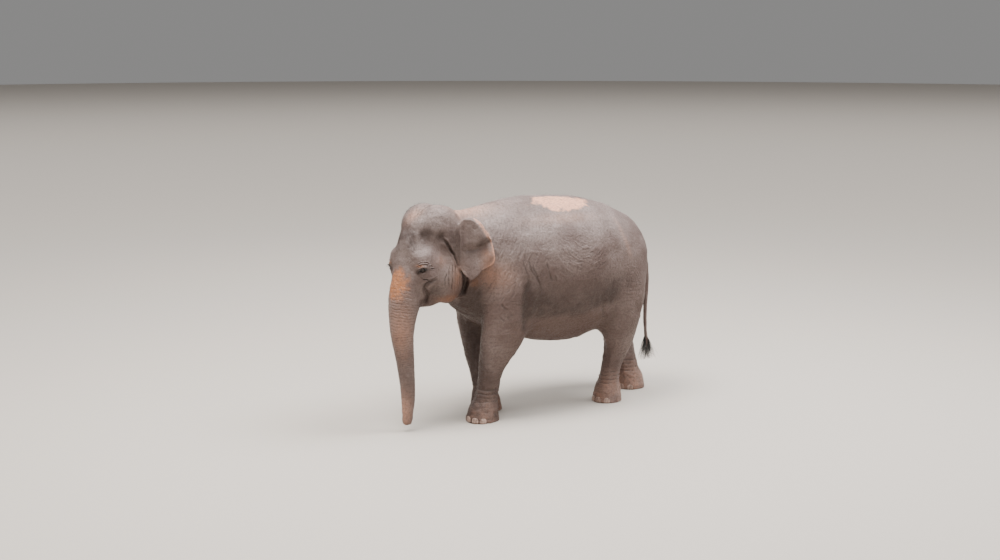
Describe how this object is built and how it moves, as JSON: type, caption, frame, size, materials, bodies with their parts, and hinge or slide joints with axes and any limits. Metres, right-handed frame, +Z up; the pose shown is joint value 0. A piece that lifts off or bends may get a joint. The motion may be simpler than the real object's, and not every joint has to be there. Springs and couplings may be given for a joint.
{
  "type": "asian elephant",
  "caption": "Still, life-size Asian elephant cow standing on four feet, head turned a little to her left, trunk hanging to the floor.",
  "frame": {"origin": "on the floor, under the middle of her box", "axes": "+X her left, -Y the way she faces, +Z up"},
  "size_m": [1.3162, 3.5032, 2.3472],
  "materials": {
    "body_skin": "grey-brown wrinkled skin, dull",
    "head_skin": "grey-brown folded skin, dull",
    "trunk_skin": "ringed skin, pinkish and freckled at the root",
    "leg_skin": "grey-brown creased skin, dull",
    "ear_skin": "thin skin, pink-edged and freckled",
    "eye": "dark brown, wet",
    "toenail": "pale horn, smooth",
    "tail_hair": "black bristle"
  },
  "bodies": {
    "root": {"ear_left": "ear_skin", "ear_right": "ear_skin", "eye_left": "eye", "eye_right": "eye", "foreleg_left_foot": "leg_skin", "foreleg_left_lower": "leg_skin", "foreleg_left_nail_1": "toenail", "foreleg_left_nail_2": "toenail", "foreleg_left_nail_3": "toenail", "foreleg_left_nail_4": "toenail", "foreleg_left_nail_5": "toenail", "foreleg_left_upper": "leg_skin", "foreleg_right_foot": "leg_skin", "foreleg_right_lower": "leg_skin", "foreleg_right_nail_1": "toenail", "foreleg_right_nail_2": "toenail", "foreleg_right_nail_3": "toenail", "foreleg_right_nail_4": "toenail", "foreleg_right_nail_5": "toenail", "foreleg_right_upper": "leg_skin", "head": "head_skin", "hindleg_left_foot": "leg_skin", "hindleg_left_lower": "leg_skin", "hindleg_left_nail_1": "toenail", "hindleg_left_nail_2": "toenail", "hindleg_left_nail_3": "toenail", "hindleg_left_nail_4": "toenail", "hindleg_left_upper": "leg_skin", "hindleg_right_foot": "leg_skin", "hindleg_right_lower": "leg_skin", "hindleg_right_nail_1": "toenail", "hindleg_right_nail_2": "toenail", "hindleg_right_nail_3": "toenail", "hindleg_right_nail_4": "toenail", "hindleg_right_upper": "leg_skin", "jaw": "head_skin", "neck": "body_skin", "tail_lower": "body_skin", "tail_tuft": "tail_hair", "tail_upper": "body_skin", "torso": "body_skin", "trunk_base": "trunk_skin", "trunk_middle": "trunk_skin", "trunk_tip": "trunk_skin"}
  },
  "joints": []
}
